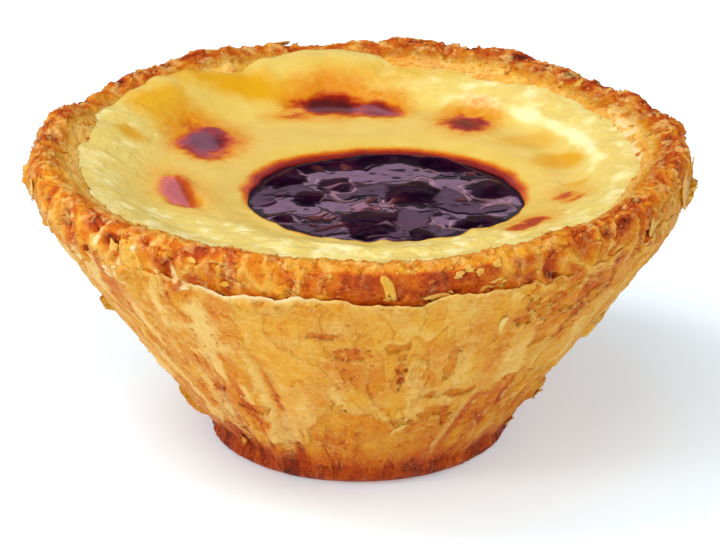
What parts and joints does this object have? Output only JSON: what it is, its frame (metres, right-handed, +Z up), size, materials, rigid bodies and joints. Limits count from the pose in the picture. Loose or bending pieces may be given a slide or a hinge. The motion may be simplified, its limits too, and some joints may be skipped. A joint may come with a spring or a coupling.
{
  "type": "custard tart with blueberry jam",
  "caption": "Flared puff pastry cup filled with baked custard, browned in spots, with an off-centre pool of blueberry jam in its top.",
  "frame": {"origin": "centre of the flat foot, on the surface that the tart rests on", "axes": "+Z up, out of the filling; the side that the picture shows faces -Y; +X is the picture's right"},
  "size_m": [0.0758, 0.0754, 0.0358],
  "materials": {
    "pastry": null,
    "custard": null,
    "jam": null
  },
  "bodies": {
    "root": {"pastry_shell": "pastry", "custard": "custard", "blueberry_jam": "jam"}
  },
  "joints": []
}
